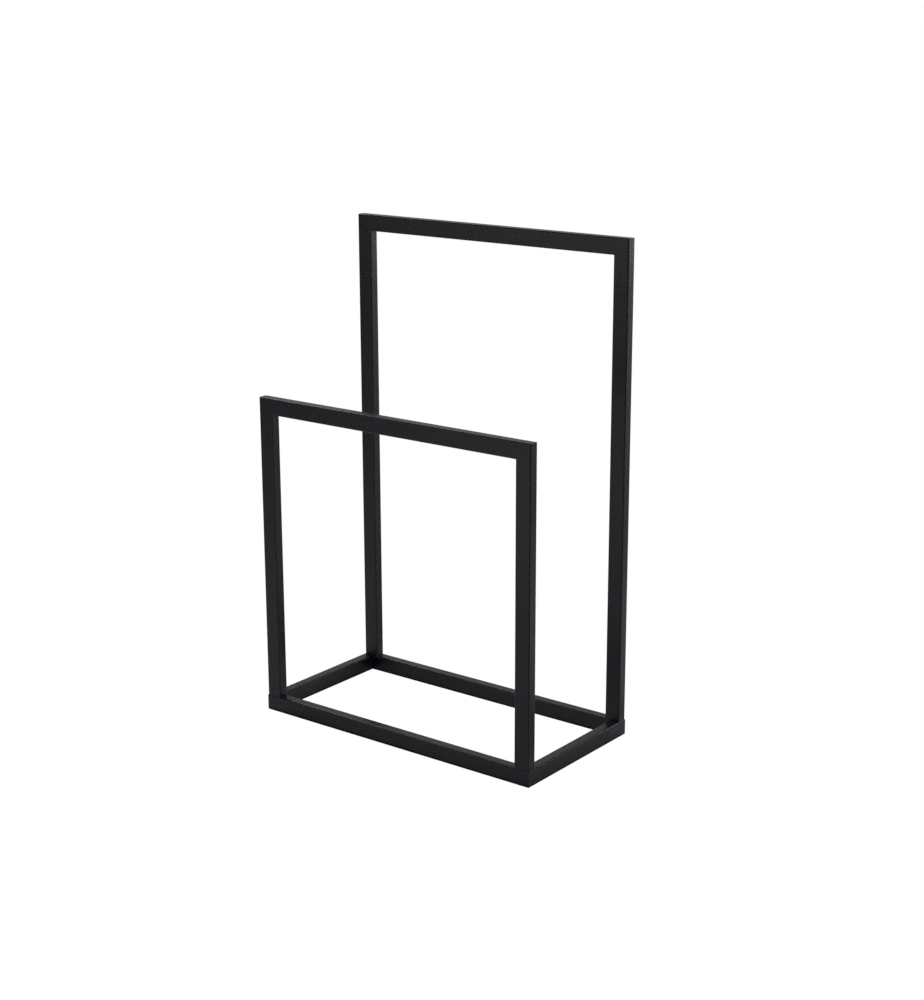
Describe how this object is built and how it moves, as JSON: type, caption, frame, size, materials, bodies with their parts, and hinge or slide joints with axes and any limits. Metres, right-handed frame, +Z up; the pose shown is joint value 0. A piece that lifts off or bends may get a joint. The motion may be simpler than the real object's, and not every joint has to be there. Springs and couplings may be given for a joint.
{
  "type": "firewood log rack",
  "caption": "Free-standing steel rack for split logs: a low front frame and a tall rear frame, both inverted U shapes of flat rectangular tube, bolted onto a rectangular base frame",
  "frame": {"origin": "on the floor under the middle of the base", "axes": "+X along the long sides, -Y towards the low front frame, +Z up"},
  "size_m": [0.4, 0.2, 0.6],
  "materials": {
    "black_powder_coat": "satin, fine powder-coat texture",
    "bright_steel": "turned, uncoated",
    "zinc_steel": "zinc plated",
    "foot_plastic": "moulded, fine matt"
  },
  "bodies": {
    "root": {"front_base_tube": "black_powder_coat", "rear_base_tube": "black_powder_coat", "left_base_tube": "black_powder_coat", "right_base_tube": "black_powder_coat", "front_top_rail": "black_powder_coat", "rear_top_rail": "black_powder_coat", "front_left_post": "black_powder_coat", "front_right_post": "black_powder_coat", "rear_left_post": "black_powder_coat", "rear_right_post": "black_powder_coat", "front_left_threaded_plug": "bright_steel", "front_right_threaded_plug": "bright_steel", "rear_left_threaded_plug": "bright_steel", "rear_right_threaded_plug": "bright_steel", "front_left_bolt": "zinc_steel", "front_right_bolt": "zinc_steel", "rear_left_bolt": "zinc_steel", "rear_right_bolt": "zinc_steel", "front_left_spring_washer": "zinc_steel", "front_right_spring_washer": "zinc_steel", "rear_left_spring_washer": "zinc_steel", "rear_right_spring_washer": "zinc_steel", "front_left_foot": "foot_plastic", "front_right_foot": "foot_plastic", "rear_left_foot": "foot_plastic", "rear_right_foot": "foot_plastic"}
  },
  "joints": []
}
